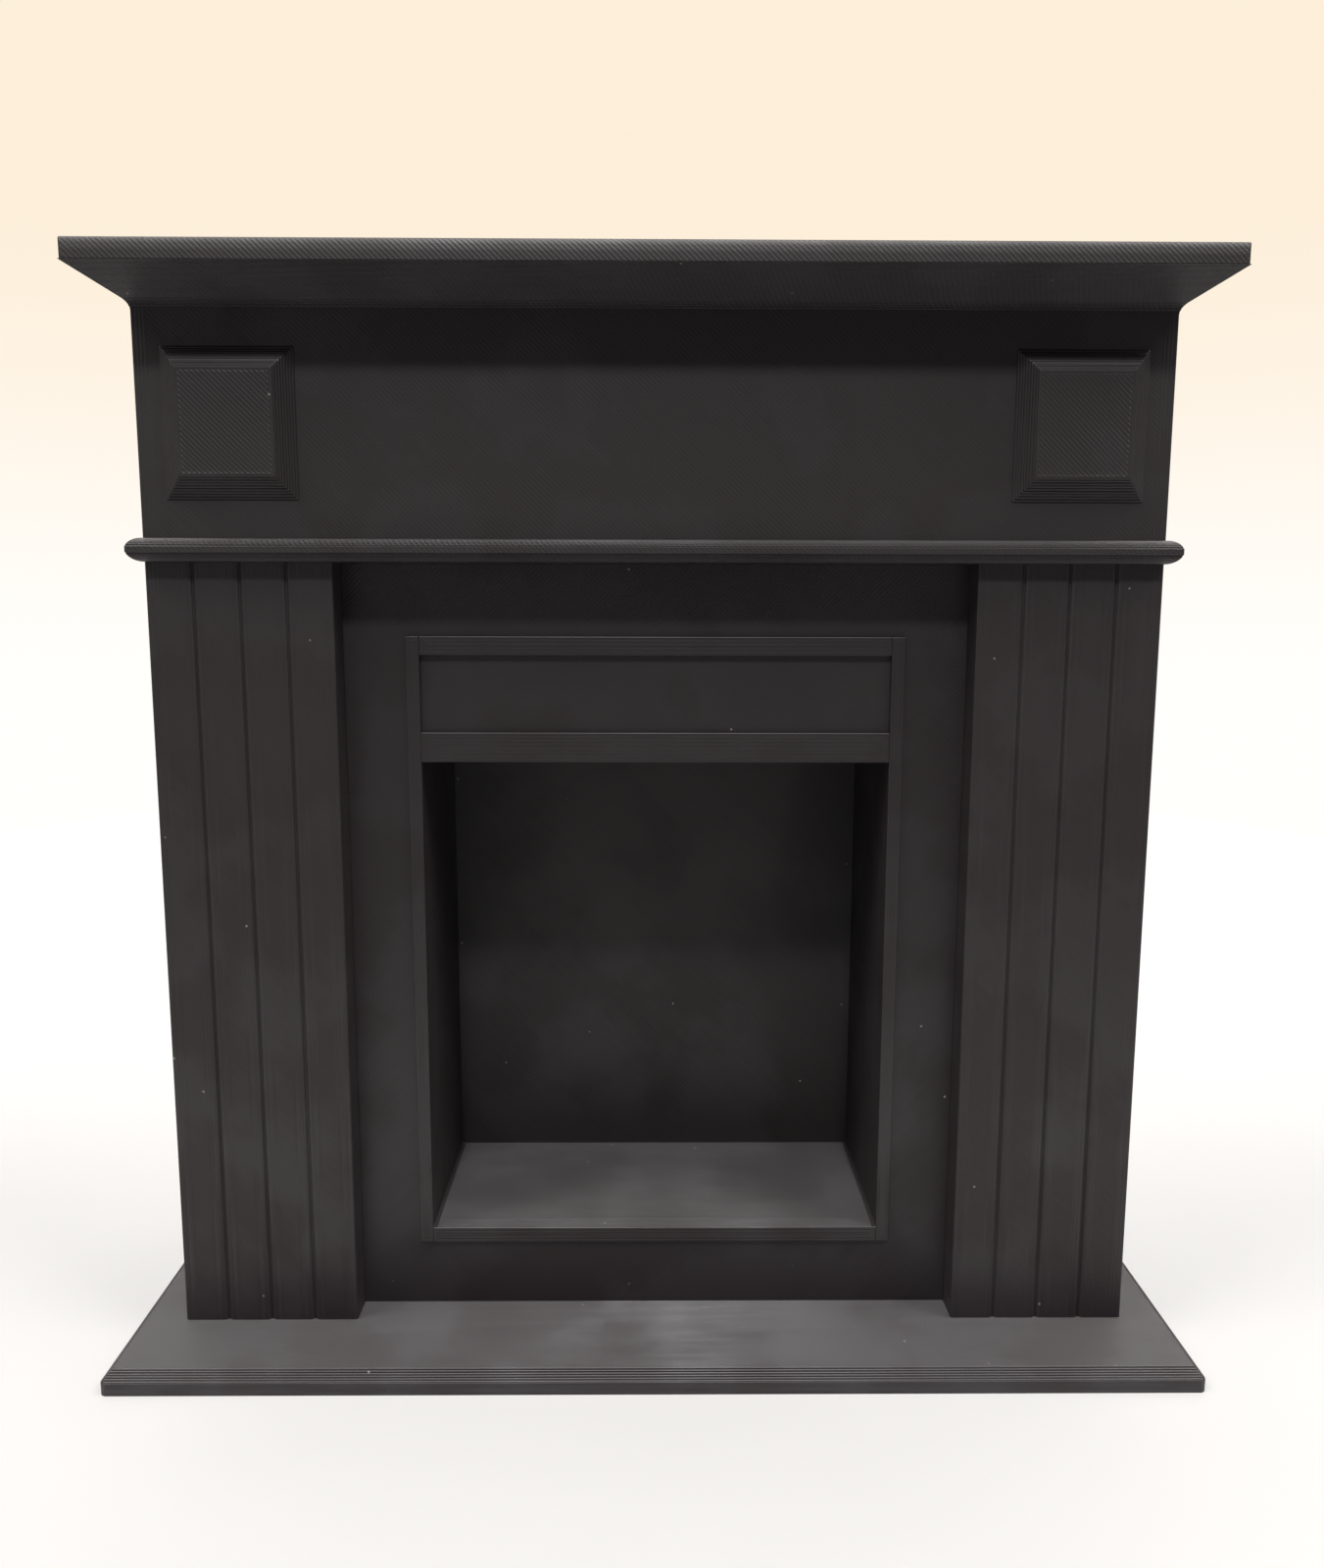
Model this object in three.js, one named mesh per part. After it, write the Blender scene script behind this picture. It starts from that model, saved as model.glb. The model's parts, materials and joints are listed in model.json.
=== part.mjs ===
// A dolls' house fireplace mantel at 1:12, in millimetres.
// The origin is the centre of the hearth's underside. +X is to the right of someone who faces the
// fireplace, +Y is towards the wall behind it and +Z is up, so the fireplace faces -Y.

import * as THREE from "three";
import { LoftGeometry } from "three/addons/geometries/LoftGeometry.js";

// Driving dimensions

// The body: pilasters and frieze in one plane, straight sides and a flat back.
const BODY_WIDTH = 116.6;
const BODY_DEPTH = 31;
const FRONT_BOARD_THICKNESS = 6;
const SIDE_WALL_THICKNESS = 2;
const REAR_PANEL_THICKNESS = 1.4;

// Heights of the parts that stand on each other, from the hearth up.
const HEARTH_HEIGHT = 2.7;
const PILASTER_HEIGHT = 93;
const BEAD_HEIGHT = 2.7;
const FRIEZE_FACE_HEIGHT = 25.5;
const CROWN_RISE = 2.7;
const SHELF_HEIGHT = 2.3;

// How far each moulding stands out from the body. The front ones stand out almost twice as far.
const HEARTH_SIDE_PROJECTION = 6.2;
const HEARTH_FRONT_PROJECTION = 11.3;
const HEARTH_CHAMFER = 1.2;
const HEARTH_CORNER_RADIUS = 0.8;
const SHELF_SIDE_PROJECTION = 4.2;
const SHELF_FRONT_PROJECTION = 7.8;
const SHELF_CORNER_RADIUS = 0.5;
const CROWN_FILLET_RADIUS = 1.3;
const BEAD_SIDE_PROJECTION = 1.2;
const BEAD_FRONT_PROJECTION = 2.4;

// Each pilaster is cut by V grooves into strips of equal width.
const PILASTER_WIDTH = 21.3;
const PILASTER_STRIPS = 4;
const GROOVE_WIDTH = 0.62;
const GROOVE_DEPTH = 0.6;

// The raised blocks at the two ends of the frieze.
const BLOCK_WIDTH = 15.1;
const BLOCK_HEIGHT = 17;
const BLOCK_PROJECTION = 1.75;
const BLOCK_SIDE_BEVEL = 2.2;
const BLOCK_TOP_BEVEL = 2.6;
const BLOCK_INSET_FROM_SIDE = 2.9;
const BLOCK_GAP_ABOVE_BEAD = 4.1;

// The surround between the pilasters, and the thin frame that is planted on it.
const SURROUND_SETBACK = 4;
const FRAME_THICKNESS = 0.7;
const FRAME_STILE_WIDTH = 1.65;
const FRAME_BOTTOM_RAIL_HEIGHT = 1.95;
const FRAME_MID_RAIL_HEIGHT = 3.55;
const FRAME_TOP_RAIL_HEIGHT = 2.2;
const OVER_PANEL_HEIGHT = 9.2;

// The firebox is a tray of thin plates behind the opening in the surround.
const FIREBOX_WIDTH = 55.9;
const FIREBOX_HEIGHT = 59.2;
const FIREBOX_FLOOR_LEVEL = 13.1;
const FIREBOX_PLATE_THICKNESS = 1.6;
const FIREBOX_BACK_THICKNESS = 1;

// How finely the round shapes are divided.
const BEAD_SEGMENTS = 16;
const FILLET_SEGMENTS = 5;
const CORNER_SEGMENTS = 5;

// Places that follow from the dimensions

const HALF_BODY = BODY_WIDTH / 2;
const FRONT_Y = (HEARTH_FRONT_PROJECTION - BODY_DEPTH) / 2;
const BACK_Y = FRONT_Y + BODY_DEPTH;
const FRONT_BOARD_BACK_Y = FRONT_Y + FRONT_BOARD_THICKNESS;
const REAR_PANEL_FRONT_Y = BACK_Y - REAR_PANEL_THICKNESS;
const SURROUND_Y = FRONT_Y + SURROUND_SETBACK;
const FRAME_Y = SURROUND_Y - FRAME_THICKNESS;
const FIREBOX_BACK_Y = REAR_PANEL_FRONT_Y - FIREBOX_BACK_THICKNESS;

const BEAD_FOOT = HEARTH_HEIGHT + PILASTER_HEIGHT;
const BEAD_TOP = BEAD_FOOT + BEAD_HEIGHT;
const CROWN_FOOT = BEAD_TOP + FRIEZE_FACE_HEIGHT;
const SHELF_UNDERSIDE = CROWN_FOOT + CROWN_RISE;
const SHELF_TOP = SHELF_UNDERSIDE + SHELF_HEIGHT;

const PILASTER_INNER_X = HALF_BODY - PILASTER_WIDTH;
const HALF_OPENING = FIREBOX_WIDTH / 2;
const FRAME_OUTER_X = HALF_OPENING + FRAME_STILE_WIDTH;
const FIREBOX_CEILING_LEVEL = FIREBOX_FLOOR_LEVEL + FIREBOX_HEIGHT;
const OVER_PANEL_FOOT = FIREBOX_CEILING_LEVEL + FRAME_MID_RAIL_HEIGHT;
const OVER_PANEL_TOP = OVER_PANEL_FOOT + OVER_PANEL_HEIGHT;
const FRAME_FOOT = FIREBOX_FLOOR_LEVEL - FRAME_BOTTOM_RAIL_HEIGHT;
const FRAME_TOP = OVER_PANEL_TOP + FRAME_TOP_RAIL_HEIGHT;

// Black moulded plastic. Surfaces that lie flat are a little smoother than the upright ones.
const UPRIGHT = { color: 0x29282b, roughness: 0.62, metalness: 0 };
const FLAT = { color: 0x2c2c30, roughness: 0.55, metalness: 0 };
const INSIDE = { color: 0x232225, roughness: 0.7, metalness: 0 };

function part(name, geometry, finish) {
  const mesh = new THREE.Mesh(geometry, new THREE.MeshStandardMaterial(finish));
  mesh.name = name;
  return mesh;
}

// A plain board from its lowest to its highest corner.
function board(name, low, high, finish) {
  const size = high.map((value, axis) => value - low[axis]);
  const mesh = part(name, new THREE.BoxGeometry(...size), finish);
  mesh.position.set(...low.map((value, axis) => value + size[axis] / 2));
  return mesh;
}

function group(...children) {
  return new THREE.Group().add(...children);
}

// A shape drawn in X and Z, given depth from frontY back to backY.
function extrudedBackwards(shape, frontY, backY) {
  const geometry = new THREE.ExtrudeGeometry(shape, {
    depth: backY - frontY,
    bevelEnabled: false,
    curveSegments: CORNER_SEGMENTS,
  });
  return geometry.rotateX(Math.PI / 2).translate(0, backY, 0);
}

// A rectangle with square corners, as a THREE.Path or THREE.Shape.
function rectangle(path, left, right, bottom, top) {
  path.moveTo(left, bottom);
  path.lineTo(right, bottom);
  path.lineTo(right, top);
  path.lineTo(left, top);
  path.closePath();
  return path;
}

// A moulding's section is a list of [outwards, height] points, where outwards runs from 0 on the
// body's face to 1 at the moulding's edge. The front run and the returns share it, so the mitres
// between them fit whatever the two projections are.
function mitrePoint([outwards, height], side, projections) {
  const x = side * (HALF_BODY + outwards * projections.side);
  return new THREE.Vector3(x, FRONT_Y - outwards * projections.front, height);
}

function frontMoulding(section, projections) {
  const ends = [1, -1].map((side) => section.map((point) => mitrePoint(point, side, projections)));
  return new LoftGeometry(ends, { capStart: true, capEnd: true });
}

function returnMoulding(section, side, projections) {
  const mitre = section.map((point) => mitrePoint(point, side, projections));
  const squareEnd = mitre.map((point) => new THREE.Vector3(point.x, BACK_Y, point.z));
  const ends = side > 0 ? [squareEnd, mitre] : [mitre, squareEnd];
  return new LoftGeometry(ends, { capStart: true, capEnd: true });
}

// The front run and both returns of one moulding, mitred at the corners.
function mouldingSet(name, section, projections) {
  return group(
    part(`${name}_front`, frontMoulding(section, projections), UPRIGHT),
    part(`${name}_left_return`, returnMoulding(section, -1, projections), UPRIGHT),
    part(`${name}_right_return`, returnMoulding(section, 1, projections), UPRIGHT),
  );
}

// The hearth's outline at one height, with its front corners rounded and its back corners square.
function hearthOutline(inset, height) {
  const halfWidth = HALF_BODY + HEARTH_SIDE_PROJECTION - inset;
  const frontY = FRONT_Y - HEARTH_FRONT_PROJECTION + inset;
  const radius = HEARTH_CORNER_RADIUS;
  const points = [];
  for (const side of [-1, 1]) {
    const centreX = side * (halfWidth - radius);
    for (let step = 0; step <= CORNER_SEGMENTS; step++) {
      const turn = (step / CORNER_SEGMENTS) * (Math.PI / 2);
      const angle = side < 0 ? Math.PI + turn : 1.5 * Math.PI + turn;
      const x = centreX + radius * Math.cos(angle);
      const y = frontY + radius + radius * Math.sin(angle);
      points.push(new THREE.Vector3(x, y, height));
    }
  }
  points.push(new THREE.Vector3(halfWidth, BACK_Y, height));
  points.push(new THREE.Vector3(-halfWidth, BACK_Y, height));
  return points;
}

function hearthSlab() {
  const sections = [
    hearthOutline(0, 0),
    hearthOutline(0, HEARTH_HEIGHT - HEARTH_CHAMFER),
    hearthOutline(HEARTH_CHAMFER, HEARTH_HEIGHT),
  ];
  return part("hearth_slab", new LoftGeometry(sections, { capStart: true, capEnd: true }), FLAT);
}

// A pilaster seen from above: a board whose front is cut by V grooves.
function pilasterOutline(leftX) {
  const outline = new THREE.Shape();
  outline.moveTo(leftX, FRONT_Y);
  for (let groove = 1; groove < PILASTER_STRIPS; groove++) {
    const centreX = leftX + (groove / PILASTER_STRIPS) * PILASTER_WIDTH;
    outline.lineTo(centreX - GROOVE_WIDTH / 2, FRONT_Y);
    outline.lineTo(centreX, FRONT_Y + GROOVE_DEPTH);
    outline.lineTo(centreX + GROOVE_WIDTH / 2, FRONT_Y);
  }
  outline.lineTo(leftX + PILASTER_WIDTH, FRONT_Y);
  outline.lineTo(leftX + PILASTER_WIDTH, FRONT_BOARD_BACK_Y);
  outline.lineTo(leftX, FRONT_BOARD_BACK_Y);
  outline.closePath();
  return outline;
}

function pilaster(name, leftX) {
  const geometry = new THREE.ExtrudeGeometry(pilasterOutline(leftX), {
    depth: PILASTER_HEIGHT,
    bevelEnabled: false,
  });
  return part(name, geometry.translate(0, 0, HEARTH_HEIGHT), UPRIGHT);
}

function sideWall(name, side) {
  const outerX = side * HALF_BODY;
  const innerX = side * (HALF_BODY - SIDE_WALL_THICKNESS);
  return board(
    name,
    [Math.min(outerX, innerX), FRONT_BOARD_BACK_Y, HEARTH_HEIGHT],
    [Math.max(outerX, innerX), REAR_PANEL_FRONT_Y, SHELF_UNDERSIDE],
    UPRIGHT,
  );
}

function rearPanel() {
  return board(
    "rear_panel",
    [-HALF_BODY, REAR_PANEL_FRONT_Y, HEARTH_HEIGHT],
    [HALF_BODY, BACK_Y, SHELF_UNDERSIDE],
    UPRIGHT,
  );
}

function friezeBoard() {
  return board(
    "frieze_board",
    [-HALF_BODY, FRONT_Y, BEAD_FOOT],
    [HALF_BODY, FRONT_BOARD_BACK_Y, SHELF_UNDERSIDE],
    UPRIGHT,
  );
}

// One section of a frieze block: a rectangle that is smaller on the raised face.
function blockSection(centreX, bevelX, bevelZ, y) {
  const halfWidth = BLOCK_WIDTH / 2 - bevelX;
  const bottom = BEAD_TOP + BLOCK_GAP_ABOVE_BEAD + bevelZ;
  const top = BEAD_TOP + BLOCK_GAP_ABOVE_BEAD + BLOCK_HEIGHT - bevelZ;
  return [
    new THREE.Vector3(centreX - halfWidth, y, bottom),
    new THREE.Vector3(centreX + halfWidth, y, bottom),
    new THREE.Vector3(centreX + halfWidth, y, top),
    new THREE.Vector3(centreX - halfWidth, y, top),
  ];
}

function friezeBlock(name, side) {
  const centreX = side * (HALF_BODY - BLOCK_INSET_FROM_SIDE - BLOCK_WIDTH / 2);
  const sections = [
    blockSection(centreX, 0, 0, FRONT_Y),
    blockSection(centreX, BLOCK_SIDE_BEVEL, BLOCK_TOP_BEVEL, FRONT_Y - BLOCK_PROJECTION),
  ];
  return part(name, new LoftGeometry(sections, { capStart: true, capEnd: true }), UPRIGHT);
}

// The bead between pilasters and frieze: half an ellipse that runs round the front and the sides.
function beadSection() {
  const middle = (BEAD_FOOT + BEAD_TOP) / 2;
  const section = [];
  for (let step = 0; step <= BEAD_SEGMENTS; step++) {
    const angle = (step / BEAD_SEGMENTS) * Math.PI;
    section.push([Math.sin(angle), middle - (Math.cos(angle) * BEAD_HEIGHT) / 2]);
  }
  return section;
}

// The crown under the shelf: a small hollow that leaves the frieze, then a straight slope. The
// hollow is round on the returns, where it touches both the side wall and the slope.
function crownSection() {
  const slope = Math.atan2(CROWN_RISE, SHELF_SIDE_PROJECTION);
  const touch = CROWN_FILLET_RADIUS / Math.tan(Math.PI / 4 + slope / 2);
  const section = [];
  for (let step = 0; step <= FILLET_SEGMENTS; step++) {
    const angle = Math.PI - (step / FILLET_SEGMENTS) * (Math.PI / 2 - slope);
    const outwards = CROWN_FILLET_RADIUS * (1 + Math.cos(angle));
    const height = CROWN_FOOT - touch + CROWN_FILLET_RADIUS * Math.sin(angle);
    section.push([outwards / SHELF_SIDE_PROJECTION, height]);
  }
  section.push([1, SHELF_UNDERSIDE]);
  section.push([0, SHELF_UNDERSIDE]);
  return section;
}

function mantelShelf() {
  const halfWidth = HALF_BODY + SHELF_SIDE_PROJECTION;
  const radius = SHELF_CORNER_RADIUS;
  const quarter = Math.PI / 2;
  const outline = new THREE.Shape();
  outline.absarc(halfWidth - radius, SHELF_UNDERSIDE + radius, radius, -quarter, 0);
  outline.absarc(halfWidth - radius, SHELF_TOP - radius, radius, 0, quarter);
  outline.absarc(-halfWidth + radius, SHELF_TOP - radius, radius, quarter, 2 * quarter);
  outline.absarc(-halfWidth + radius, SHELF_UNDERSIDE + radius, radius, 2 * quarter, 3 * quarter);
  outline.closePath();
  const geometry = extrudedBackwards(outline, FRONT_Y - SHELF_FRONT_PROJECTION, BACK_Y);
  return part("mantel_shelf", geometry, UPRIGHT);
}

// The recessed board between the pilasters, with the firebox opening cut through it.
function surroundPanel() {
  const panel = new THREE.Shape();
  rectangle(panel, -PILASTER_INNER_X, PILASTER_INNER_X, HEARTH_HEIGHT, BEAD_FOOT);
  const opening = new THREE.Path();
  rectangle(opening, -HALF_OPENING, HALF_OPENING, FIREBOX_FLOOR_LEVEL, FIREBOX_CEILING_LEVEL);
  panel.holes.push(opening);
  return part("surround_panel", extrudedBackwards(panel, SURROUND_Y, FRONT_BOARD_BACK_Y), UPRIGHT);
}

function frameStrip(name, left, right, bottom, top) {
  return board(name, [left, FRAME_Y, bottom], [right, SURROUND_Y, top], UPRIGHT);
}

// The thin raised frame: two stiles, and three rails between them.
function raisedFrame() {
  const rail = (name, bottom, top) => frameStrip(name, -HALF_OPENING, HALF_OPENING, bottom, top);
  return group(
    frameStrip("frame_left_stile", -FRAME_OUTER_X, -HALF_OPENING, FRAME_FOOT, FRAME_TOP),
    frameStrip("frame_right_stile", HALF_OPENING, FRAME_OUTER_X, FRAME_FOOT, FRAME_TOP),
    rail("frame_bottom_rail", FRAME_FOOT, FIREBOX_FLOOR_LEVEL),
    rail("frame_mid_rail", FIREBOX_CEILING_LEVEL, OVER_PANEL_FOOT),
    rail("frame_top_rail", OVER_PANEL_TOP, FRAME_TOP),
  );
}

function fireboxPlate(name, left, right, bottom, top) {
  return board(name, [left, FRONT_BOARD_BACK_Y, bottom], [right, FIREBOX_BACK_Y, top], INSIDE);
}

// Floor, cheeks, ceiling and back. Floor and ceiling fit between the cheeks.
function firebox() {
  const outerX = HALF_OPENING + FIREBOX_PLATE_THICKNESS;
  const bottom = FIREBOX_FLOOR_LEVEL - FIREBOX_PLATE_THICKNESS;
  const top = FIREBOX_CEILING_LEVEL + FIREBOX_PLATE_THICKNESS;
  return group(
    fireboxPlate("firebox_floor", -HALF_OPENING, HALF_OPENING, bottom, FIREBOX_FLOOR_LEVEL),
    fireboxPlate("firebox_ceiling", -HALF_OPENING, HALF_OPENING, FIREBOX_CEILING_LEVEL, top),
    fireboxPlate("firebox_left_cheek", -outerX, -HALF_OPENING, bottom, top),
    fireboxPlate("firebox_right_cheek", HALF_OPENING, outerX, bottom, top),
    board(
      "firebox_back",
      [-outerX, FIREBOX_BACK_Y, bottom],
      [outerX, REAR_PANEL_FRONT_Y, top],
      INSIDE,
    ),
  );
}

const bead = mouldingSet("bead", beadSection(), {
  side: BEAD_SIDE_PROJECTION,
  front: BEAD_FRONT_PROJECTION,
});

const crown = mouldingSet("crown", crownSection(), {
  side: SHELF_SIDE_PROJECTION,
  front: SHELF_FRONT_PROJECTION,
});

const body = group(
  pilaster("left_pilaster", -HALF_BODY),
  pilaster("right_pilaster", PILASTER_INNER_X),
  sideWall("left_side_wall", -1),
  sideWall("right_side_wall", 1),
  rearPanel(),
  friezeBoard(),
  friezeBlock("left_frieze_block", -1),
  friezeBlock("right_frieze_block", 1),
);

const surround = group(surroundPanel(), raisedFrame());

const mantel = group(hearthSlab(), body, bead, crown, mantelShelf(), surround, firebox());

export default mantel;
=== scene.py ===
"""Looks of a 1:12 dolls' house fireplace mantel, 3-D printed in black plastic while lying on its back.

The print's layers are stacked along -Y, towards the viewer. So every face that looks forwards is the
top of a layer, filled with diagonal raster lines inside a few lines that follow its edges. The back
is the first layer, and every other face shows the edges of the layers.
"""
import json
import math

import bmesh
import bpy
from mathutils import Euler, Matrix, Vector


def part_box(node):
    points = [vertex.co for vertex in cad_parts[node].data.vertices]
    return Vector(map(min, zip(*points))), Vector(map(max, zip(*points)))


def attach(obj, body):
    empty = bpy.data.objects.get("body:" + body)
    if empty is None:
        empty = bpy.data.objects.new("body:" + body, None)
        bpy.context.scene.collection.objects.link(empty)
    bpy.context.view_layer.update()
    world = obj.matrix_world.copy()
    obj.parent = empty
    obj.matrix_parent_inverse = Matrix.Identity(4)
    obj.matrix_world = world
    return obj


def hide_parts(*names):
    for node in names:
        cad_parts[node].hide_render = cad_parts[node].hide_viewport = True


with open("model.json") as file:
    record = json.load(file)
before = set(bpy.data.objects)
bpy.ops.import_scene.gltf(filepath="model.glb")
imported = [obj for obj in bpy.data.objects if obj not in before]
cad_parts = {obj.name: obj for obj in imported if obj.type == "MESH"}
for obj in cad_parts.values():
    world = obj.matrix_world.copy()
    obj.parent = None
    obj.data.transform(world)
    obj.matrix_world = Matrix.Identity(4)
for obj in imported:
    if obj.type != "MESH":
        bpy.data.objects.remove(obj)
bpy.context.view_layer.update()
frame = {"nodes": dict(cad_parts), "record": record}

# Lengths whose names end in _MM are in millimetres, and all others are in metres.
MM = 0.001
MM_PER_METRE = 1000.0

# How the printer lays plastic down. LAYER_STEP is the share of a slope that goes in steps.
LAYER = 0.2 * MM
LAYER_MM = LAYER / MM
LINE_WIDTH_MM = 0.42
SEAM_DEPTH = 0.09 * MM
LAYER_STEP = 0.5
LAYER_BULGE = [math.radians(angle) for angle in (75, 45, 15, -15, -45, -75)]

# Shapes that the CAD boxes don't hold.
BLOCK_SIDE_BEVEL = 2.2 * MM
BLOCK_TOP_BEVEL = 2.6 * MM
HEARTH_LIP = 1.5 * MM
HEARTH_CORNER_RADIUS = 0.8 * MM
SHELF_CORNER_RADIUS = 0.5 * MM
SHELF_FRONT_SLOPE_RUN = 0.24 * MM
SHELF_FRONT_SLOPE_RISE = 1.25 * MM
CROWN_FILLET_RADIUS = 1.3 * MM
PILASTER_STRIPS = 4
PILASTER_GROOVE_DEPTH = 0.42 * MM
FIREBOX_FILLET_RADIUS = 0.45 * MM

# Edge roundings.
STRIP_EDGE = 0.24 * MM
SOFT_EDGE = 0.16 * MM
CRISP_EDGE = 0.1 * MM
JOINT_EDGE = 0.04 * MM

# How finely round stretches are cut, and what counts as nothing, upright, flat or smooth.
ARC_SEGMENTS = 4
SMOOTH_PROFILE_SEGMENTS = 28
TABLE_SEGMENTS = 96
SLOPE_SOLVER_STEPS = 40
SAME_POINT = 0.001 * MM
THINNEST_LAYER = 0.01 * MM
FAR_AWAY_MM = 1000.0
LONGEST_FILLET_SHARE = 0.45
NEARLY_UPRIGHT = 0.9
FLAT_ANGLE = math.radians(1)
ARRIS_ANGLE = math.radians(25)
SMOOTH_ANGLE = math.radians(35)

# Depths of the printed relief that the materials add.
RASTER_DEPTH_MM = 0.009
MOULDING_RASTER_DEPTH_MM = 0.02
WALL_LINE_DEPTH_MM = 0.02
LAYER_LINE_DEPTH_MM = 0.03
UNEVEN_LAYER_DEPTH_MM = 0.02
GRAIN_DEPTH_MM = 0.006
TURN_WIDTH_MM = 0.16
TURN_LEVEL = 0.6
WALL_BLEND_MM = (-0.02, 0.06)

# How quickly the patterns change, per millimetre.
PATCHES_PER_MM = 0.07
GRAIN_PER_MM = 6.0
DUST_CELLS_PER_MM = 0.33
TABLE_MOTTLE_PER_MM = 0.03
ALONG_A_LINE_PER_MM = 0.05
ALONG_A_WALL_PER_MM = 0.06
ALONG_A_SIDE_PER_MM = 0.03
FROM_LAYER_TO_LAYER_PER_MM = 3.0

# Contrast: the noise values that become 0 and 1.
WALL_CONTRAST = (0.3, 0.7)
PATCH_CONTRAST = (0.18, 0.82)
CLOUD_CONTRAST = (0.3, 0.7)
WEAR_CONTRAST = (0.15, 0.85)

# Neighbouring lines lie this far apart in the noise, so that each has a tone of its own.
RASTER_LINE_HOP = 7.3
WALL_LINE_HOP = 5.1
LAYER_HOP = 3.7

# Shares of the slot's colour, in red, green and blue. The deep shade leans towards plum.
DEEP_SHADE = (0.3, 0.18, 0.22)
WORN_SHADE = (0.62, 0.55, 0.57)

# Dust: how far from the middle of its cell a speck ends, and the random number, from 0 to 1, that
# a cell has to pass to have a speck.
DUST_COLOUR = (0.16, 0.15, 0.14, 1.0)
SPECK_EDGE = (0.03, 0.06)
SPECK_THRESHOLD = (0.8, 0.82)

# How squarely a face has to look forwards or back to be the top of a layer or the first layer.
SQUARE_ON = (0.86, 0.97)

# Sides are smoother than the tops of layers. Flat sides are made rougher again, for the layer
# lines that they don't have as real shapes.
ROUGHNESS_SPREAD = 0.15
SIDE_SMOOTHNESS = 0.12
FLAT_SIDE_ROUGHNESS = 0.22

# The table, and what the camera sees behind the mantel.
TABLE_RADIUS = 0.3
TABLE_FRONT_EDGE = -0.12
TABLE_COLOUR = (1.02, 1.0, 0.975, 1.0)
TABLE_GREYS = (0.2, 0.22)
TABLE_GLOW = 0.36
BACKDROP_COLOUR = (0.98, 0.86, 0.7, 1.0)
BACKDROP_ELEVATIONS = (-5, 16)

# The lights. The camera doesn't see the room's, only the backdrop.
KEY_STRENGTH = 2.4
KEY_SIZE = math.radians(5.5)
KEY_ELEVATION = math.radians(51)
KEY_COLOUR = (1.0, 0.99, 0.98)
ROOM_COLOUR = (1.0, 0.97, 0.93, 1.0)
BEHIND_LEFT_STRENGTH = 2.2
BEHIND_RIGHT_STRENGTH = 2.8
SIDE_LAMP_STRENGTH = 15.0
SIDE_WALL_STRENGTH = 1.45
LEFT_FRONT_STRENGTH = 0.33
ROOM_FLOOR_STRENGTH = 0.38
EVERYWHERE_STRENGTH = 0.04

# The camera. Its distance is from the front of the pilasters.
CAMERA_X_MM = -0.618
CAMERA_DISTANCE_MM = 146.29
CAMERA_HEIGHT_MM = 91.62
CAMERA_LENS_MM = 28.96
CAMERA_SENSOR_MM = 36.0
CAMERA_PITCH = math.radians(8.332)
CAMERA_YAW = math.radians(0.528)
CAMERA_ROLL = math.radians(-0.142)

body_low = Vector((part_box("left_pilaster")[0].x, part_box("left_pilaster")[0].y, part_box("hearth_slab")[1].z))
body_high = Vector((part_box("right_pilaster")[1].x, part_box("rear_panel")[1].y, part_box("mantel_shelf")[0].z))
HALF_BODY = body_high.x
FRONT_Y = body_low.y
BACK_Y = body_high.y


# ---------------------------------------------------------------- shader arithmetic


class Field:
    """A number that varies over a surface. Arithmetic on it adds Math nodes to its shader."""

    def __init__(self, shader, socket):
        self.shader = shader
        self.socket = socket

    def __add__(self, other):
        return self.shader.math("ADD", self, other)

    def __sub__(self, other):
        return self.shader.math("SUBTRACT", self, other)

    def __rsub__(self, other):
        return self.shader.math("SUBTRACT", other, self)

    def __mul__(self, other):
        return self.shader.math("MULTIPLY", self, other)

    def __truediv__(self, other):
        return self.shader.math("DIVIDE", self, other)

    def size(self):
        return self.shader.math("ABSOLUTE", self)

    def fraction(self):
        return self.shader.math("FRACT", self)

    def whole(self):
        return self.shader.math("FLOOR", self)

    def least(self, other):
        return self.shader.math("MINIMUM", self, other)

    def rise(self, low, high):
        """0 below low, 1 above high, and smooth in between."""
        return self.shader.map_range(self, low, high, 0.0, 1.0, "SMOOTHSTEP")

    def band(self, low, high, soft=6.0):
        """1 between low and high, 0 outside, and smooth at both ends."""
        return self.rise(low - soft, low + soft) * (1.0 - self.rise(high - soft, high + soft))

    def spread(self, low, high):
        """From low to high as this goes from 0 to 1."""
        return self.shader.map_range(self, 0.0, 1.0, low, high, "LINEAR")


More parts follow.
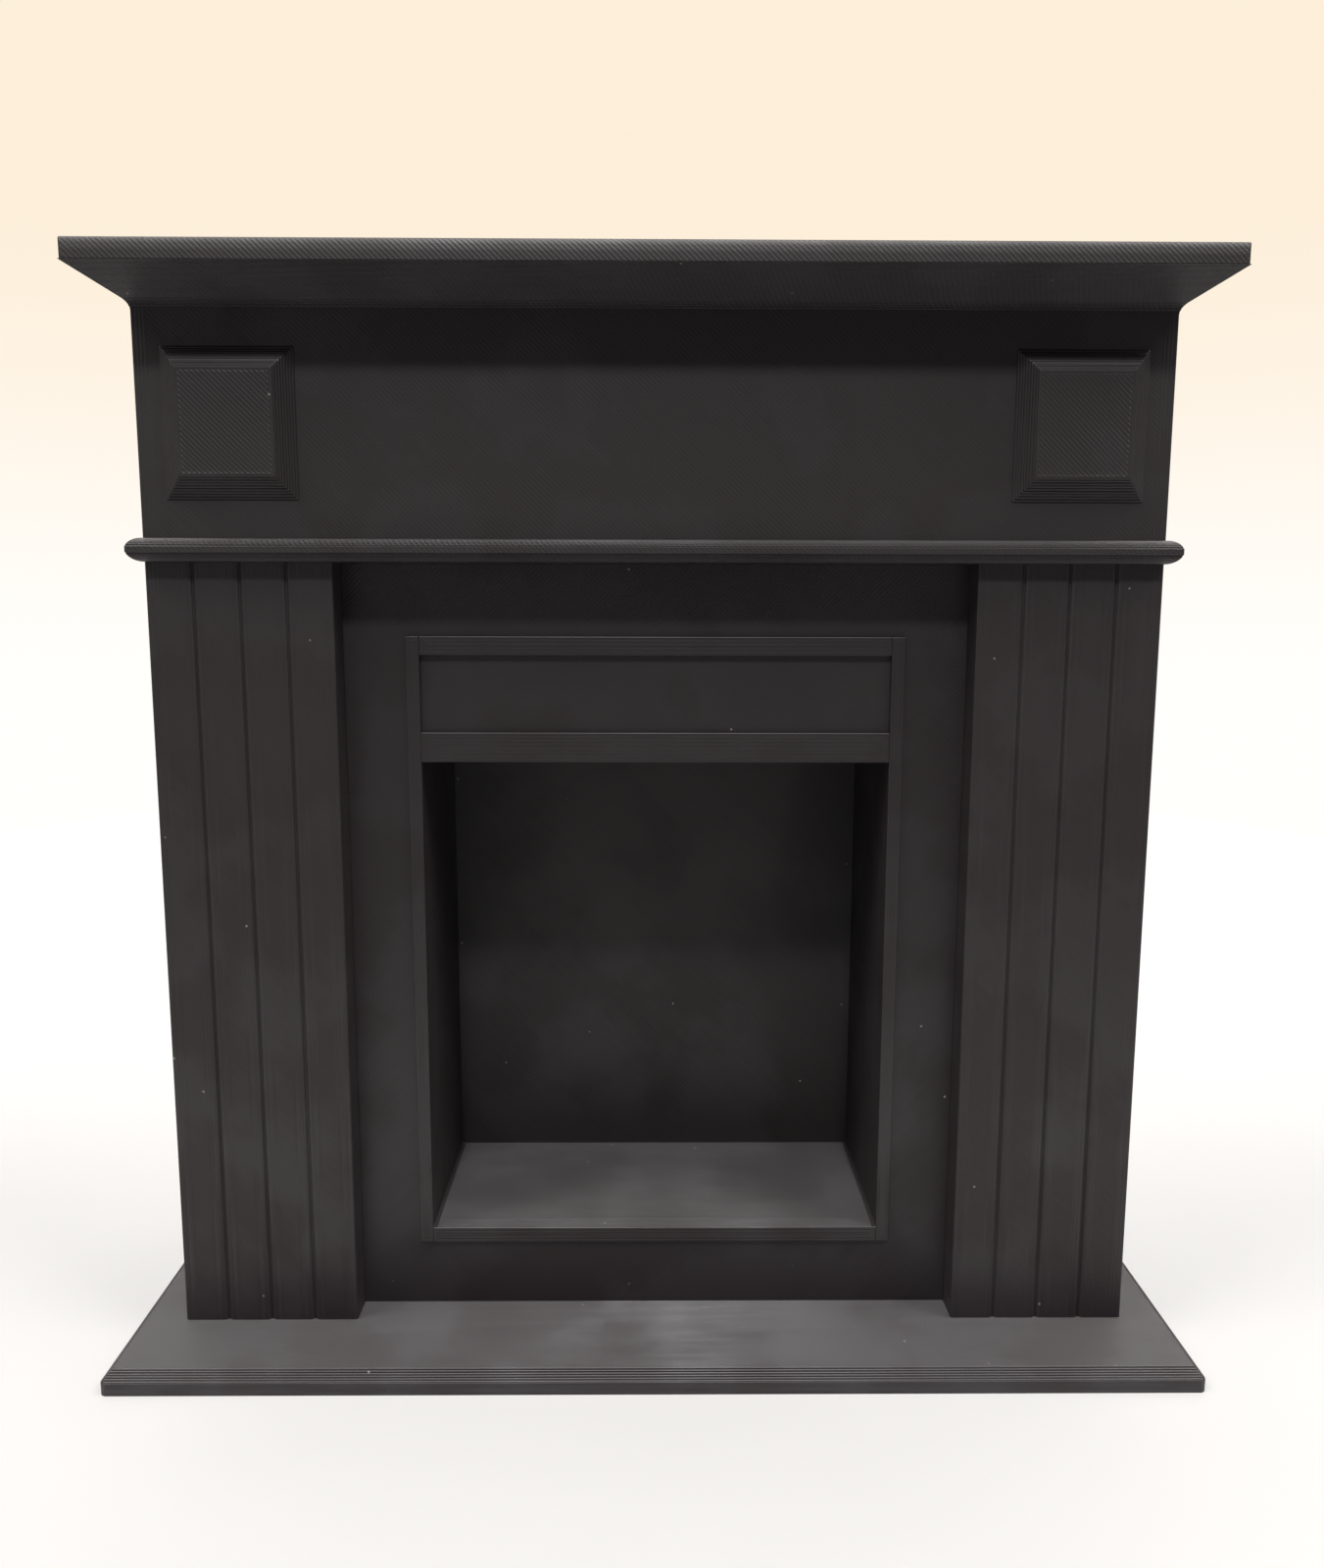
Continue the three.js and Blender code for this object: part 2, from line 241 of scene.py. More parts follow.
class Shader:
    """The node tree of a material or of the world."""

    def __init__(self, owner):
        owner.use_nodes = True
        self.owner = owner
        self.tree = owner.node_tree

    def feed(self, socket, value):
        if isinstance(value, Field):
            self.tree.links.new(value.socket, socket)
        else:
            socket.default_value = value

    def node(self, kind, inputs=None, **settings):
        node = self.tree.nodes.new(kind)
        for name, value in settings.items():
            setattr(node, name, value)
        for name, value in (inputs or {}).items():
            self.feed(node.inputs[name], value)
        return node

    def math(self, operation, *values):
        node = self.node("ShaderNodeMath", operation=operation)
        for socket, value in zip(node.inputs, values):
            self.feed(socket, value)
        return Field(self, node.outputs[0])

    def map_range(self, value, from_low, from_high, to_low, to_high, interpolation):
        node = self.node("ShaderNodeMapRange", interpolation_type=interpolation)
        for socket, number in zip(node.inputs, (value, from_low, from_high, to_low, to_high)):
            self.feed(socket, number)
        return Field(self, node.outputs[0])

    def split(self, socket):
        node = self.node("ShaderNodeSeparateXYZ")
        self.tree.links.new(socket, node.inputs[0])
        return [Field(self, output) for output in node.outputs]

    def attribute(self, name):
        return self.split(self.node("ShaderNodeAttribute", attribute_name=name).outputs["Vector"])

    def position_mm(self):
        place = self.split(self.node("ShaderNodeTexCoord").outputs["Object"])
        return [axis * MM_PER_METRE for axis in place]

    def normal(self):
        return self.split(self.node("ShaderNodeNewGeometry").outputs["Normal"])

    def point(self, x, y, z):
        return Field(self, self.node("ShaderNodeCombineXYZ", {"X": x, "Y": y, "Z": z}).outputs[0])

    def noise(self, x, y, z, detail=2.0, roughness=0.5):
        inputs = {"Vector": self.point(x, y, z), "Scale": 1.0, "Detail": detail, "Roughness": roughness}
        return Field(self, self.node("ShaderNodeTexNoise", inputs).outputs["Fac"])

    def specks(self, x, y, z):
        """1 in a few scattered dots, and 0 elsewhere."""
        cells = self.node("ShaderNodeTexVoronoi", {"Vector": self.point(x, y, z), "Scale": 1.0})
        dot = 1.0 - Field(self, cells.outputs["Distance"]).rise(*SPECK_EDGE)
        chosen = self.split(cells.outputs["Color"])[0].rise(*SPECK_THRESHOLD)
        return dot * chosen

    def mix_colour(self, amount, first, second):
        node = self.node("ShaderNodeMix", data_type="RGBA")
        self.feed(node.inputs["Factor"], amount)
        for socket, colour in ((node.inputs[6], first), (node.inputs[7], second)):
            self.feed(socket, colour)
        return Field(self, node.outputs[2])

    def bump(self, height_mm):
        """Relief from a height in millimetres."""
        node = self.node("ShaderNodeBump", {"Strength": 1.0, "Distance": MM, "Height": height_mm})
        return Field(self, node.outputs[0])

    def surface(self, **inputs):
        """Feeds the Principled BSDF of a material."""
        for name, value in inputs.items():
            self.feed(self.tree.nodes["Principled BSDF"].inputs[name.replace("_", " ")], value)


def ridge(coordinate):
    """Rounded ridges with sharp valleys between them: 1 on the crest and 0 in the valley."""
    across = coordinate.fraction() * 2.0 - 1.0
    return 1.0 - across * across


# ---------------------------------------------------------------- materials


def slot_colour(slot):
    colour = next(m["base_color"] for m in frame["record"]["materials"] if m["slot"] == slot)
    return (*colour[:3], 1.0)


def shade(colour, shares):
    """The colour with each channel cut down to its share."""
    return (*(channel * share for channel, share in zip(colour[:3], shares)), 1.0)


def grey(value):
    return (value, value, value, 1.0)


def top_of_a_layer(shader, raster_depth):
    """Tone and relief of a face that looks forwards: diagonal raster lines inside a few lines that
    follow its edges, with dots where the raster lines turn back."""
    x, y, z = shader.position_mm()
    low_x, _, low_z = shader.attribute("print_low")
    high_x, _, high_z = shader.attribute("print_high")
    wall_width, raster_turn, _ = shader.attribute("print_style")
    layer = y * FROM_LAYER_TO_LAYER_PER_MM

    raster = (x + raster_turn * z) * (math.sqrt(0.5) / LINE_WIDTH_MM)
    along_raster = (x - raster_turn * z) * ALONG_A_LINE_PER_MM
    raster_tone = shader.noise(raster.whole() * RASTER_LINE_HOP, along_raster, layer)

    edge_distance = (x - low_x).least(high_x - x).least((z - low_z).least(high_z - z))
    wall_line = edge_distance / LINE_WIDTH_MM
    wall_tone = shader.noise(wall_line.whole() * WALL_LINE_HOP, (x + z) * ALONG_A_WALL_PER_MM, layer)
    wall_tone = wall_tone.rise(*WALL_CONTRAST)

    inside = (edge_distance - wall_width).rise(*WALL_BLEND_MM)
    turning = 1.0 - (edge_distance - wall_width).size().rise(0.0, TURN_WIDTH_MM)
    turns = turning * (ridge(raster) - TURN_LEVEL) * (2.0 * raster_depth)
    outside = 1.0 - inside
    relief = inside * ridge(raster) * raster_depth + outside * ridge(wall_line) * WALL_LINE_DEPTH_MM
    return inside * raster_tone + outside * wall_tone, relief + turns


def edges_of_layers(shader):
    """Tone and relief of a side, where the stacked layers show, each a little different."""
    x, y, z = shader.position_mm()
    layer = y / LAYER_MM
    along = (x + z * 1.3) * ALONG_A_LINE_PER_MM
    tone = shader.noise(layer.whole() * LAYER_HOP, along, (x - z) * ALONG_A_SIDE_PER_MM)
    return tone, ridge(layer) * LAYER_LINE_DEPTH_MM + tone * UNEVEN_LAYER_DEPTH_MM


def printed_plastic(slot, roughness, raster_depth=RASTER_DEPTH_MM):
    """Black printed plastic. The piece's own attributes say where the layer's edge lines run."""
    shader = Shader(bpy.data.materials.new(f"{slot}_printed"))
    x, y, z = shader.position_mm()
    _, normal_y, _ = shader.normal()
    _, _, flat_sides = shader.attribute("print_style")
    top = (normal_y * -1.0).rise(*SQUARE_ON)
    first_layer = normal_y.rise(*SQUARE_ON)
    top_tone, top_relief = top_of_a_layer(shader, raster_depth)
    side_tone, side_relief = edges_of_layers(shader)

    tone = top * top_tone + (1.0 - top) * side_tone
    patches = shader.noise(*(axis * PATCHES_PER_MM for axis in (x, y, z)), detail=4.0)
    patches = patches.rise(*PATCH_CONTRAST)
    grain = shader.noise(*(axis * GRAIN_PER_MM for axis in (x, y, z)), detail=3.0, roughness=0.65)
    side_relief = (1.0 - top - first_layer) * side_relief * flat_sides
    relief = top * top_relief + side_relief + grain * GRAIN_DEPTH_MM

    clouds = patches.rise(*CLOUD_CONTRAST)
    worn = (tone * 0.4 + clouds * 0.45 + grain * 0.15).rise(*WEAR_CONTRAST)
    colour = slot_colour(slot)
    plastic = shader.mix_colour(worn, shade(colour, DEEP_SHADE), shade(colour, WORN_SHADE))
    dust = shader.specks(*(axis * DUST_CELLS_PER_MM for axis in (x, y, z)))

    smooth = tone * 0.25 + patches * 0.55 + grain * 0.2
    top_roughness = smooth.spread(roughness + ROUGHNESS_SPREAD, roughness - ROUGHNESS_SPREAD)
    side_roughness = (1.0 - top) * (flat_sides * FLAT_SIDE_ROUGHNESS - SIDE_SMOOTHNESS)
    shader.surface(
        Base_Color=shader.mix_colour(dust, plastic, DUST_COLOUR),
        Roughness=top_roughness + side_roughness,
        Normal=shader.bump(relief),
    )
    return shader.owner


def floor_material():
    """Matt table top with a faint mottle. It glows a little, so that it stays evenly pale."""
    shader = Shader(bpy.data.materials.new("pale_table"))
    x, y, z = shader.position_mm()
    mottle = shader.noise(x * TABLE_MOTTLE_PER_MM, y * TABLE_MOTTLE_PER_MM, z, detail=5.0)
    shader.surface(
        Base_Color=shader.mix_colour(mottle, *(grey(value) for value in TABLE_GREYS)),
        Roughness=0.7,
        Emission_Color=TABLE_COLOUR,
        Emission_Strength=TABLE_GLOW,
    )
    return shader.owner


materials = {
    "body_plastic": printed_plastic("body_plastic", roughness=0.5),
    "moulding_plastic": printed_plastic("moulding_plastic", 0.5, MOULDING_RASTER_DEPTH_MM),
    "surround_plastic": printed_plastic("surround_plastic", roughness=0.47),
    "hearth_plastic": printed_plastic("hearth_plastic", roughness=0.5),
    "firebox_plastic": printed_plastic("firebox_plastic", roughness=0.52),
}
slot_of = {part["node"]: part["material_slot"] for part in frame["record"]["subparts"]}


# ---------------------------------------------------------------- mesh tools


def cad_copy(node):
    """The CAD node's mesh with its corners merged and its flat faces whole."""
    bm = bmesh.new()
    bm.from_mesh(frame["nodes"][node].data)
    bmesh.ops.remove_doubles(bm, verts=bm.verts, dist=SAME_POINT)
    bmesh.ops.dissolve_limit(bm, angle_limit=FLAT_ANGLE, verts=bm.verts, edges=bm.edges)
    return bm


def round_edges(bm, radius, edges=None):
    """Rounds the given edges, or every edge that turns by more than ARRIS_ANGLE."""
    sharp = edges or [
        edge
        for edge in bm.edges
        if len(edge.link_faces) == 2 and edge.calc_face_angle() > ARRIS_ANGLE
    ]
    bmesh.ops.bevel(
        bm,
        geom=sharp,
        offset=radius,
        segments=ARC_SEGMENTS,
        profile=0.5,
        affect="EDGES",
        clamp_overlap=True,
    )
    return bm


def loft(rings):
    """A closed skin over rings of points that all have the same number of points."""
    bm = bmesh.new()
    rows = [[bm.verts.new(point) for point in ring] for ring in rings]
    count = len(rows[0])
    for first, second in zip(rows, rows[1:]):
        for i in range(count):
            j = (i + 1) % count
            bm.faces.new((first[i], first[j], second[j], second[i]))
    bm.faces.new(rows[0])
    bm.faces.new(rows[-1])
    bmesh.ops.recalc_face_normals(bm, faces=bm.faces)
    return bm


def join(*meshes):
    """Several bmeshes as one."""
    whole = bmesh.new()
    for bm in meshes:
        part = bpy.data.meshes.new("part")
        bm.to_mesh(part)
        bm.free()
        whole.from_mesh(part)
        bpy.data.meshes.remove(part)
    return whole


def filleted(corners):
    """A closed outline with each (a, b, radius) corner rounded off by a curve."""
    outline = []
    for i, (a, b, radius) in enumerate(corners):
        corner = Vector((a, b))
        before = Vector(corners[i - 1][:2]) - corner
        after = Vector(corners[(i + 1) % len(corners)][:2]) - corner
        reach = min(radius, before.length * LONGEST_FILLET_SHARE, after.length * LONGEST_FILLET_SHARE)
        if reach < SAME_POINT:
            outline.append(corner)
            continue
        start = corner + before.normalized() * reach
        end = corner + after.normalized() * reach
        for step in range(ARC_SEGMENTS + 1):
            t = step / ARC_SEGMENTS
            outline.append(start * (1 - t) ** 2 + corner * 2 * t * (1 - t) + end * t * t)
    return outline


def layered(outline_at, back, front):
    """Rings of a body printed from back to front. outline_at(y, inset) is its outline in X and Z.
    Each layer bulges, so its two seams are set in, and a slope goes partly in steps."""
    rings = []
    layer_back = back
    while layer_back > front + THINNEST_LAYER:
        layer_front = max(front, layer_back - LAYER)
        middle, half = (layer_back + layer_front) / 2, (layer_back - layer_front) / 2
        for turn in LAYER_BULGE:
            inset = SEAM_DEPTH * (1 - math.cos(turn))
            y = middle + half * math.sin(turn)
            slope_y = middle + (y - middle) * (1 - LAYER_STEP)
            rings.append([Vector((x, y, z)) for x, z in outline_at(slope_y, inset)])
        layer_back = layer_front
    rings[0] = [Vector((point.x, back, point.z)) for point in rings[0]]
    rings[-1] = [Vector((point.x, front, point.z)) for point in rings[-1]]
    return rings


def corner_cut(radius, distance):
    """How far a rounded corner in plan draws a side in, at a distance behind the front."""
    if distance >= radius:
        return 0.0
    return radius - math.sqrt(radius * radius - (radius - distance) ** 2)


# ---------------------------------------------------------------- pieces


def write_print_attributes(mesh, bounds_of, wall_lines, raster_turn, real_layers):
    """Each point knows the outline of the printed face that it lies in, in millimetres."""
    names = ("print_low", "print_high", "print_style")
    lows, highs, styles = (mesh.attributes.new(name, "FLOAT_VECTOR", "POINT") for name in names)
    style = (wall_lines * LINE_WIDTH_MM, raster_turn, 0.0 if real_layers else 1.0)
    for vertex in mesh.vertices:
        low, high = bounds_of(vertex.co)
        lows.data[vertex.index].vector = low
        highs.data[vertex.index].vector = high
        styles.data[vertex.index].vector = style


def whole_box(node):
    low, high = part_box(node)
    bounds = tuple(low / MM), tuple(high / MM)
    return lambda point: bounds


def no_edges(point):
    return (-FAR_AWAY_MM,) * 3, (FAR_AWAY_MM,) * 3


def side_edges_only(node):
    low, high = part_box(node)
    bounds = (low.x / MM, 0.0, -FAR_AWAY_MM), (high.x / MM, 0.0, FAR_AWAY_MM)
    return lambda point: bounds


def long_edges_of_strips(node):
    """A pilaster's strips each have their own outline, between two grooves."""
    low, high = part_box(node)
    pitch = (high.x - low.x) / PILASTER_STRIPS

    def bounds(point):
        strip = min(PILASTER_STRIPS - 1, max(0, int((point.x - low.x) / pitch)))
        left = (low.x + strip * pitch) / MM
        return (left, 0.0, -FAR_AWAY_MM), (left + pitch / MM, 0.0, FAR_AWAY_MM)

    return bounds


def piece(node, bm, bounds_of=None, wall_lines=1, raster_turn=1, real_layers=False, name=None):
    """Turns a bmesh into the visible piece that stands for a CAD node."""
    mesh = bpy.data.meshes.new(name or f"printed_{node}")
    bm.to_mesh(mesh)
    bm.free()
    mesh.shade_smooth()
    mesh.set_sharp_from_angle(angle=SMOOTH_ANGLE)
    write_print_attributes(mesh, bounds_of or whole_box(node), wall_lines, raster_turn, real_layers)
    made = bpy.data.objects.new(mesh.name, mesh)
    bpy.context.scene.collection.objects.link(made)
    made.data.materials.append(materials[slot_of[node]])
    weighted = made.modifiers.new("weighted_normals", "WEIGHTED_NORMAL")
    weighted.keep_sharp = True
    weighted.weight = 100
    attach(made, "root")
    if name is None:
        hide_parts(node)


def board(node, radius, **style):
    piece(node, round_edges(cad_copy(node), radius), **style)


# ---------------------------------------------------------------- mouldings


def mitred_ring(section, side, side_reach, front_reach):
    """A moulding's section, as (outwards, height) points, where two runs meet at a front corner."""
    return [
        Vector((side * (HALF_BODY + out * side_reach), FRONT_Y - out * front_reach, height))
        for out, height in section
    ]


def square_ring(section, side, side_reach):
    return [Vector((side * (HALF_BODY + out * side_reach), BACK_Y, height)) for out, height in section]


def moulding(name, front_section, return_section, side_reach, front_reach):
    ends = [mitred_ring(front_section, side, side_reach, front_reach) for side in (1, -1)]
    piece(f"{name}_front", loft(ends), bounds_of=no_edges, real_layers=True)
    for side, label in ((-1, "left"), (1, "right")):
        rings = [
            mitred_ring(return_section, side, side_reach, front_reach),
            square_ring(return_section, side, side_reach),
        ]
        piece(f"{name}_{label}_return", loft(rings), bounds_of=no_edges)


def layered_edge(reach, height_at, inwards):
    """A moulding's edge as (outwards, height) points, where each printed layer bulges."""
    count = round(reach / LAYER)
    edge = []
    for i in range(count):
        height = height_at((i + 0.5) / count)
        for turn in reversed(LAYER_BULGE):
            out = (i + 0.5 + math.sin(turn) / 2) / count
            edge.append((out, height + inwards * SEAM_DEPTH * (1 - math.cos(turn))))
    return [(0.0, edge[0][1]), *edge, (1.0, edge[-1][1])]


def bead():
    low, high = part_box("bead_front")
    side_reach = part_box("bead_right_return")[1].x - HALF_BODY
    front_reach = FRONT_Y - low.y
    middle, half = (low.z + high.z) / 2, (high.z - low.z) / 2

    def half_height(out):
        return half * math.sqrt(1 - out * out)

    lower = layered_edge(front_reach, lambda out: middle - half_height(out), 1)
    upper = layered_edge(front_reach, lambda out: middle + half_height(out), -1)
    smooth = []
    for step in range(SMOOTH_PROFILE_SEGMENTS + 1):
        angle = step / SMOOTH_PROFILE_SEGMENTS * math.pi
        smooth.append((math.sin(angle), middle - half * math.cos(angle)))
    moulding("bead", lower + upper[::-1], smooth, side_reach, front_reach)


def crown():
    low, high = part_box("crown_front")
    side_reach = high.x - HALF_BODY
    front_reach = FRONT_Y - low.y
    radius = CROWN_FILLET_RADIUS
    slope = solve_crown_slope(high.z - low.z, side_reach, radius)
    foot = high.z - math.tan(slope) * side_reach
    touch_out = radius * (1 - math.sin(slope))

    def height(out):
        reach = out * side_reach
        if reach >= touch_out:
            return foot + math.tan(slope) * reach
        return low.z + math.sqrt(radius * radius - (radius - reach) ** 2)

    smooth = []
    for step in range(SMOOTH_PROFILE_SEGMENTS + 1):
        turn = step / SMOOTH_PROFILE_SEGMENTS * (math.pi / 2 - slope)
        smooth.append((radius * (1 - math.cos(turn)) / side_reach, low.z + radius * math.sin(turn)))
    top = [(1.0, high.z), (0.0, high.z)]
    moulding("crown", layered_edge(front_reach, height, 1) + top, smooth + top, side_reach, front_reach)


def solve_crown_slope(rise, reach, radius):
    """The angle of a slope that ends at (reach, rise) and is tangent to the fillet above (0, 0)."""
    slope = math.atan2(rise, reach)
    for _ in range(SLOPE_SOLVER_STEPS):
        touch = radius * math.tan(math.pi / 4 - slope / 2)
        slope = math.atan2(rise - touch, reach)
    return slope


def frieze_block(node):
    """A raised block whose flat face lies inside four broad bevels."""
    low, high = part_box(node)
    bevel = Vector((BLOCK_SIDE_BEVEL, 0.0, BLOCK_TOP_BEVEL))

    def outline(y, inset):
        narrowing = bevel * (high.y - y) / (high.y - low.y)
        left, right = low.x + narrowing.x + inset, high.x - narrowing.x - inset
        bottom, top = low.z + narrowing.z + inset, high.z - narrowing.z - inset
        corners = [(left, bottom), (right, bottom), (right, top), (left, top)]
        return [tuple(point) for point in filleted([(*corner, SOFT_EDGE) for corner in corners])]

    face = (low + bevel) / MM, (high - bevel) / MM
    rings = layered(outline, high.y, low.y)
    piece(node, loft(rings), bounds_of=lambda point: face, real_layers=True)


def hearth():
    """A slab with a chamfer above a straight lip, along its front and both ends."""
    low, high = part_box("hearth_slab")

    def outline(y, inset):
        behind = y - low.y
        side = high.x - corner_cut(HEARTH_CORNER_RADIUS, behind) - inset
        top = min(high.z, HEARTH_LIP + behind)
        top_side = side - (top - HEARTH_LIP)
        corners = [
            (-side, low.z, 0.0),
            (side, low.z, 0.0),
            (side, HEARTH_LIP, CRISP_EDGE),
            (top_side, top - inset, CRISP_EDGE),
            (-top_side, top - inset, CRISP_EDGE),
            (-side, HEARTH_LIP, CRISP_EDGE),
        ]
        return [tuple(point) for point in filleted(corners)]

    piece("hearth_slab", loft(layered(outline, high.y, low.y)), wall_lines=4, real_layers=True)


def shelf():
    """A slab with rounded arrises. The upper part of its front edge leans back slightly."""
    low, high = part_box("mantel_shelf")

    def outline(y, inset, droop=0.0):
        side = high.x - corner_cut(SHELF_CORNER_RADIUS, y - low.y) - inset
        top = high.z - inset - droop
        corners = [
            (-side, low.z + inset, SOFT_EDGE),
            (side, low.z + inset, SOFT_EDGE),
            (side, top, SOFT_EDGE),
            (-side, top, SOFT_EDGE),
        ]
        return [tuple(point) for point in filleted(corners)]

    edge = low.y + SHELF_FRONT_SLOPE_RUN
    rings = layered(outline, high.y, edge)
    for step in range(1, ARC_SEGMENTS + 1):
        share = step / ARC_SEGMENTS
        y = edge - SHELF_FRONT_SLOPE_RUN * math.sqrt(share)
        points = outline(y, CRISP_EDGE * share, SHELF_FRONT_SLOPE_RISE * share)
        rings.append([Vector((x, y, z)) for x, z in points])
    piece("mantel_shelf", loft(rings), bounds_of=no_edges, real_layers=True)


def pilaster(node):
    """A board whose strips have well-rounded long edges, with shallow grooves between them."""
    low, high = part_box(node)
    bm = cad_copy(node)
    for vertex in bm.verts:
        if low.y + CRISP_EDGE < vertex.co.y < high.y - CRISP_EDGE:
            vertex.co.y = low.y + PILASTER_GROOVE_DEPTH
    upright = [
        edge
        for edge in bm.edges
        if abs((edge.verts[0].co - edge.verts[1].co).normalized().z) > NEARLY_UPRIGHT
    ]
    round_edges(bm, STRIP_EDGE, edges=upright)
    piece(node, bm, bounds_of=long_edges_of_strips(node), wall_lines=4)


def lowered_sill(node):
    """A part of the surround whose face under the firebox opening makes way for the sill's layers."""
    sill_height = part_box("frame_bottom_rail")[1].z
    bm = cad_copy(node)
    for vertex in bm.verts:
        if abs(vertex.co.z - sill_height) < CRISP_EDGE:
            vertex.co.z -= SEAM_DEPTH + JOINT_EDGE
    return bm


def surround_panel():
    bm = round_edges(lowered_sill("surround_panel"), JOINT_EDGE)
    piece("surround_panel", bm, bounds_of=no_edges, raster_turn=-1)


def frame_bottom_rail():
    bm = round_edges(lowered_sill("frame_bottom_rail"), JOINT_EDGE)
    piece("frame_bottom_rail", bm, wall_lines=4)


def opening_sill():
    """The layers that show on the lower side of the firebox opening, in front of its floor."""
    low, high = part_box("frame_bottom_rail")
    bottom = low.z + CRISP_EDGE

    def outline(y, inset):
        top = high.z - inset
        return [(-high.x, bottom), (high.x, bottom), (high.x, top), (-high.x, top)]

    rings = layered(outline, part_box("surround_panel")[1].y, low.y + CRISP_EDGE)
    piece("frame_bottom_rail", loft(rings), bounds_of=no_edges, real_layers=True, name="opening_sill")


def firebox_floor():
    low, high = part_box("firebox_floor")

    def outline(y, inset):
        return [(-high.x, low.z), (high.x, low.z), (high.x, high.z - inset), (-high.x, high.z - inset)]

    piece("firebox_floor", loft(layered(outline, high.y, low.y)), bounds_of=no_edges, real_layers=True)


def firebox_corner_fillets():
    """The small hollows where the firebox floor turns up into its cheeks."""
    low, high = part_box("firebox_floor")
    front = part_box("frame_bottom_rail")[0].y + CRISP_EDGE
    radius = FIREBOX_FILLET_RADIUS
    strips = []
    for side in (-1, 1):
        corner_x = side * high.x
        section = [(corner_x, high.z)]
        for step in range(2 * ARC_SEGMENTS + 1):
            angle = step / (2 * ARC_SEGMENTS) * math.pi / 2
            section.append(
                (
                    corner_x - side * radius * (1 - math.sin(angle)),
                    high.z + radius * (1 - math.cos(angle)),
                )
            )
        strips.append(loft([[Vector((x, y, z)) for x, z in section] for y in (front, high.y)]))
    piece("firebox_floor", join(*strips), bounds_of=no_edges, name="firebox_corner_fillets")


# ---------------------------------------------------------------- the whole mantel

hearth()
shelf()
pilaster("left_pilaster")
pilaster("right_pilaster")
for node in ("left_side_wall", "right_side_wall", "rear_panel"):
    board(node, JOINT_EDGE)
board("frieze_board", JOINT_EDGE, bounds_of=side_edges_only("frieze_board"), wall_lines=4)
surround_panel()
frame_bottom_rail()
opening_sill()
for node in ("left_stile", "right_stile", "top_rail", "mid_rail"):
    board(f"frame_{node}", CRISP_EDGE, wall_lines=4)
for node in ("ceiling", "left_cheek", "right_cheek", "back"):
    board(f"firebox_{node}", JOINT_EDGE, bounds_of=no_edges)
firebox_floor()
bead()
crown()
frieze_block("left_frieze_block")
frieze_block("right_frieze_block")
firebox_corner_fillets()


# ---------------------------------------------------------------- stage, lights and camera


def pale_floor():
    """A round table top that ends a little way in front of the mantel."""
    bm = bmesh.new()
    bmesh.ops.create_circle(bm, cap_ends=True, segments=TABLE_SEGMENTS, radius=TABLE_RADIUS)
    mesh = bpy.data.meshes.new("table_top")
    bm.to_mesh(mesh)
    bm.free()
    floor = bpy.data.objects.new("table_top", mesh)
    floor.location.y = TABLE_FRONT_EDGE + TABLE_RADIUS
    bpy.context.scene.collection.objects.link(floor)
    mesh.materials.append(floor_material())


def key_light():
    """One lamp above and in front, small enough to leave clear shadows with soft edges."""
    lamp = bpy.data.lights.new("key", "SUN")
    lamp.energy = KEY_STRENGTH
    lamp.angle = KEY_SIZE
    lamp.color = KEY_COLOUR
    made = bpy.data.objects.new("key", lamp)
    direction = Vector((0.0, math.cos(KEY_ELEVATION), -math.sin(KEY_ELEVATION)))
    made.rotation_euler = direction.to_track_quat("-Z", "Y").to_euler()
    bpy.context.scene.collection.objects.link(made)


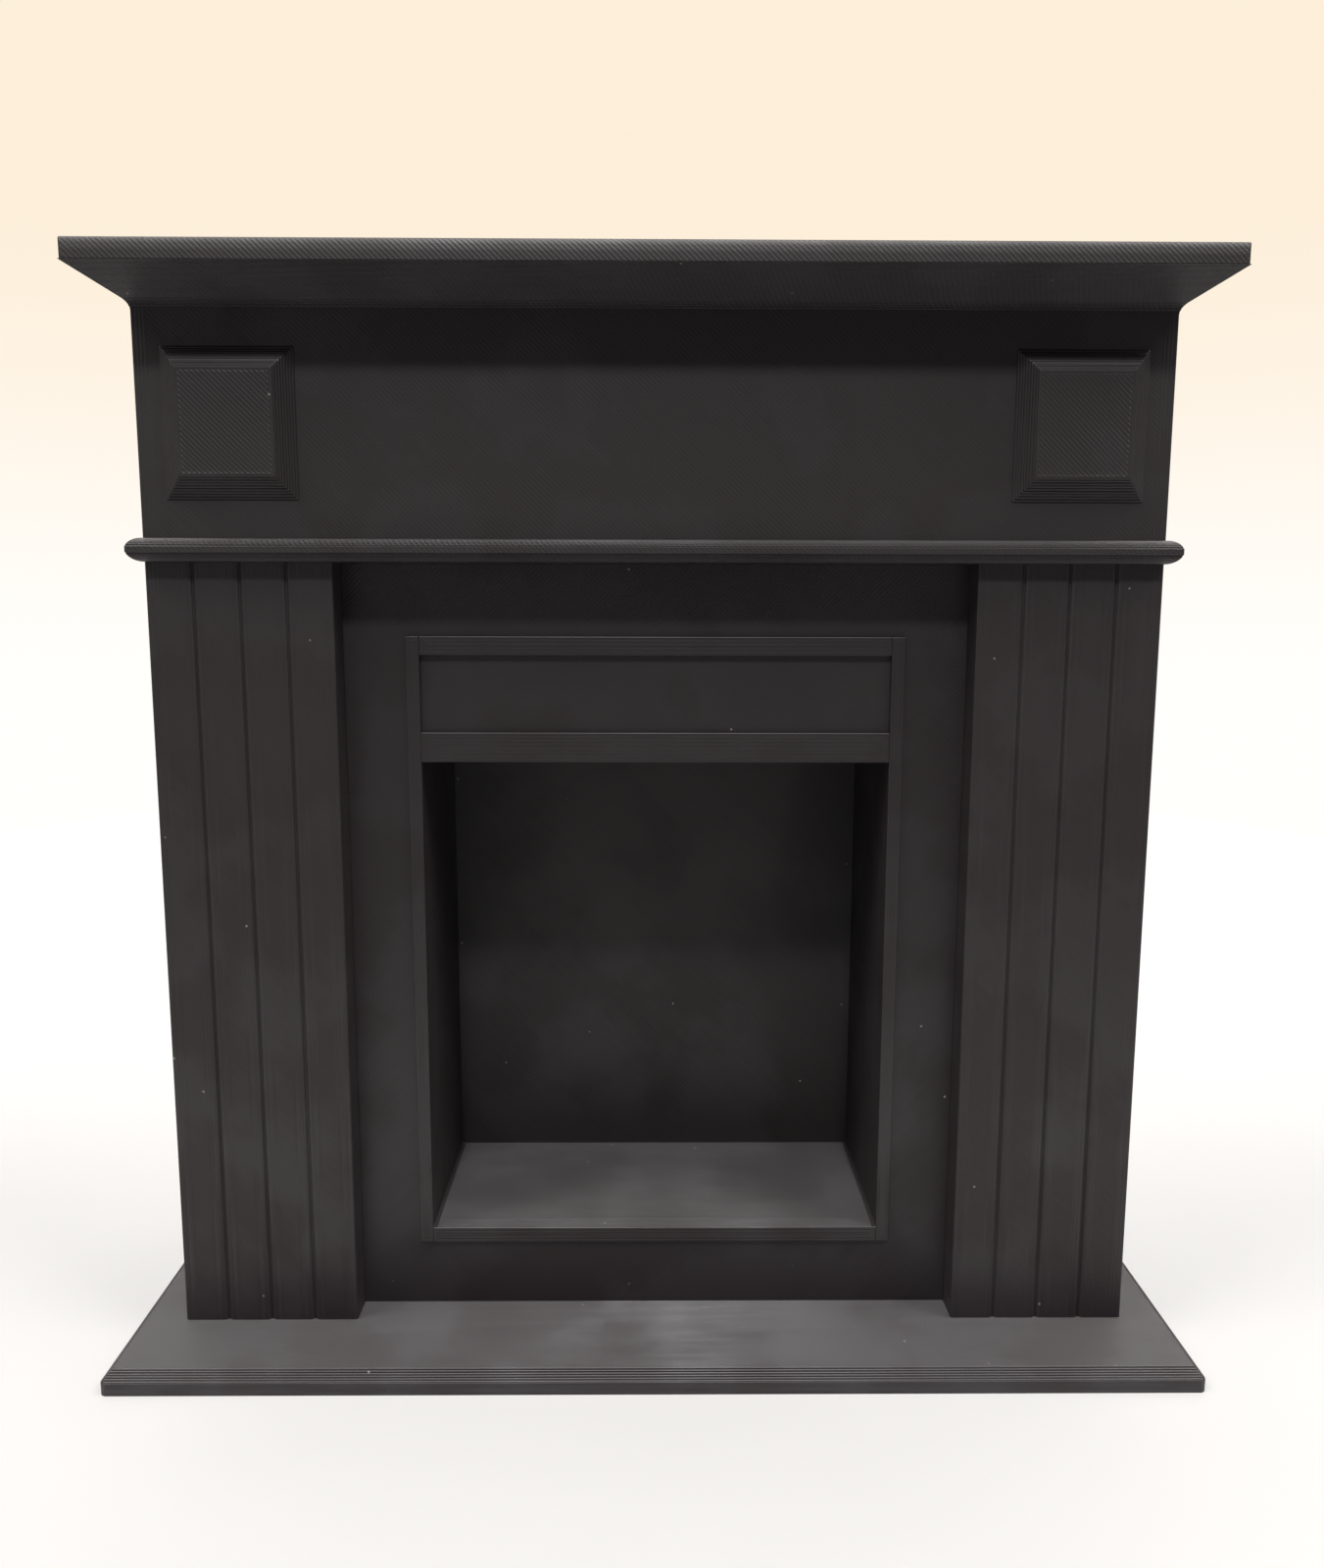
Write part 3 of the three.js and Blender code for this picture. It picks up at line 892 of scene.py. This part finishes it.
def room_light(shader):
    """How bright the room is in each direction. Angles are in degrees: azimuth 0 is in front of the
    mantel, and 90 is on the camera's right."""
    across, away, up = shader.split(shader.node("ShaderNodeTexCoord").outputs["Generated"])
    azimuth = shader.math("ARCTAN2", across, away * -1.0) * math.degrees(1.0)
    elevation = shader.math("ARCSINE", up) * math.degrees(1.0)
    turned = azimuth.size()
    to_the_right = across.rise(-0.6, 0.6)
    behind_strength = to_the_right.spread(BEHIND_LEFT_STRENGTH, BEHIND_RIGHT_STRENGTH)
    behind = turned.band(90, 200) * elevation.band(30, 100) * behind_strength
    side_lamps = turned.band(50, 90) * elevation.band(40, 68) * SIDE_LAMP_STRENGTH
    side_walls = turned.band(72, 90) * elevation.band(0, 40) * SIDE_WALL_STRENGTH
    left_front = azimuth.band(-50, -18) * elevation.band(0, 30) * LEFT_FRONT_STRENGTH
    floor = elevation.band(-60, -1) * ROOM_FLOOR_STRENGTH
    light = behind + side_lamps + side_walls + left_front + floor + EVERYWHERE_STRENGTH
    return light, elevation


def surroundings():
    """A pale backdrop for the camera, and for the mantel a room that is bright behind it and at its
    sides, and nearly dark in front."""
    world = bpy.data.worlds.new("studio")
    bpy.context.scene.world = world
    shader = Shader(world)
    light, elevation = room_light(shader)
    seen = Field(shader, shader.node("ShaderNodeLightPath").outputs["Is Camera Ray"])
    backdrop = shader.mix_colour(elevation.rise(*BACKDROP_ELEVATIONS), TABLE_COLOUR, BACKDROP_COLOUR)
    background = shader.tree.nodes["Background"]
    shader.feed(background.inputs["Color"], shader.mix_colour(seen, ROOM_COLOUR, backdrop))
    shader.feed(background.inputs["Strength"], seen + (1.0 - seen) * light)


def camera():
    """A fairly wide lens, held close and a little above the middle of the mantel."""
    data = bpy.data.cameras.new("camera")
    data.sensor_width = CAMERA_SENSOR_MM
    data.lens = CAMERA_LENS_MM
    data.clip_start = 0.01
    data.clip_end = 10.0
    made = bpy.data.objects.new("camera", data)
    bpy.context.scene.collection.objects.link(made)
    made.location = Vector((CAMERA_X_MM, FRONT_Y / MM - CAMERA_DISTANCE_MM, CAMERA_HEIGHT_MM)) * MM
    level = Euler((math.pi / 2 - CAMERA_PITCH, 0.0, -CAMERA_YAW)).to_matrix()
    made.rotation_euler = (level @ Matrix.Rotation(-CAMERA_ROLL, 3, "Z")).to_euler()
    bpy.context.scene.camera = made


pale_floor()
key_light()
surroundings()
camera()
bpy.context.scene.view_settings.view_transform = "Standard"
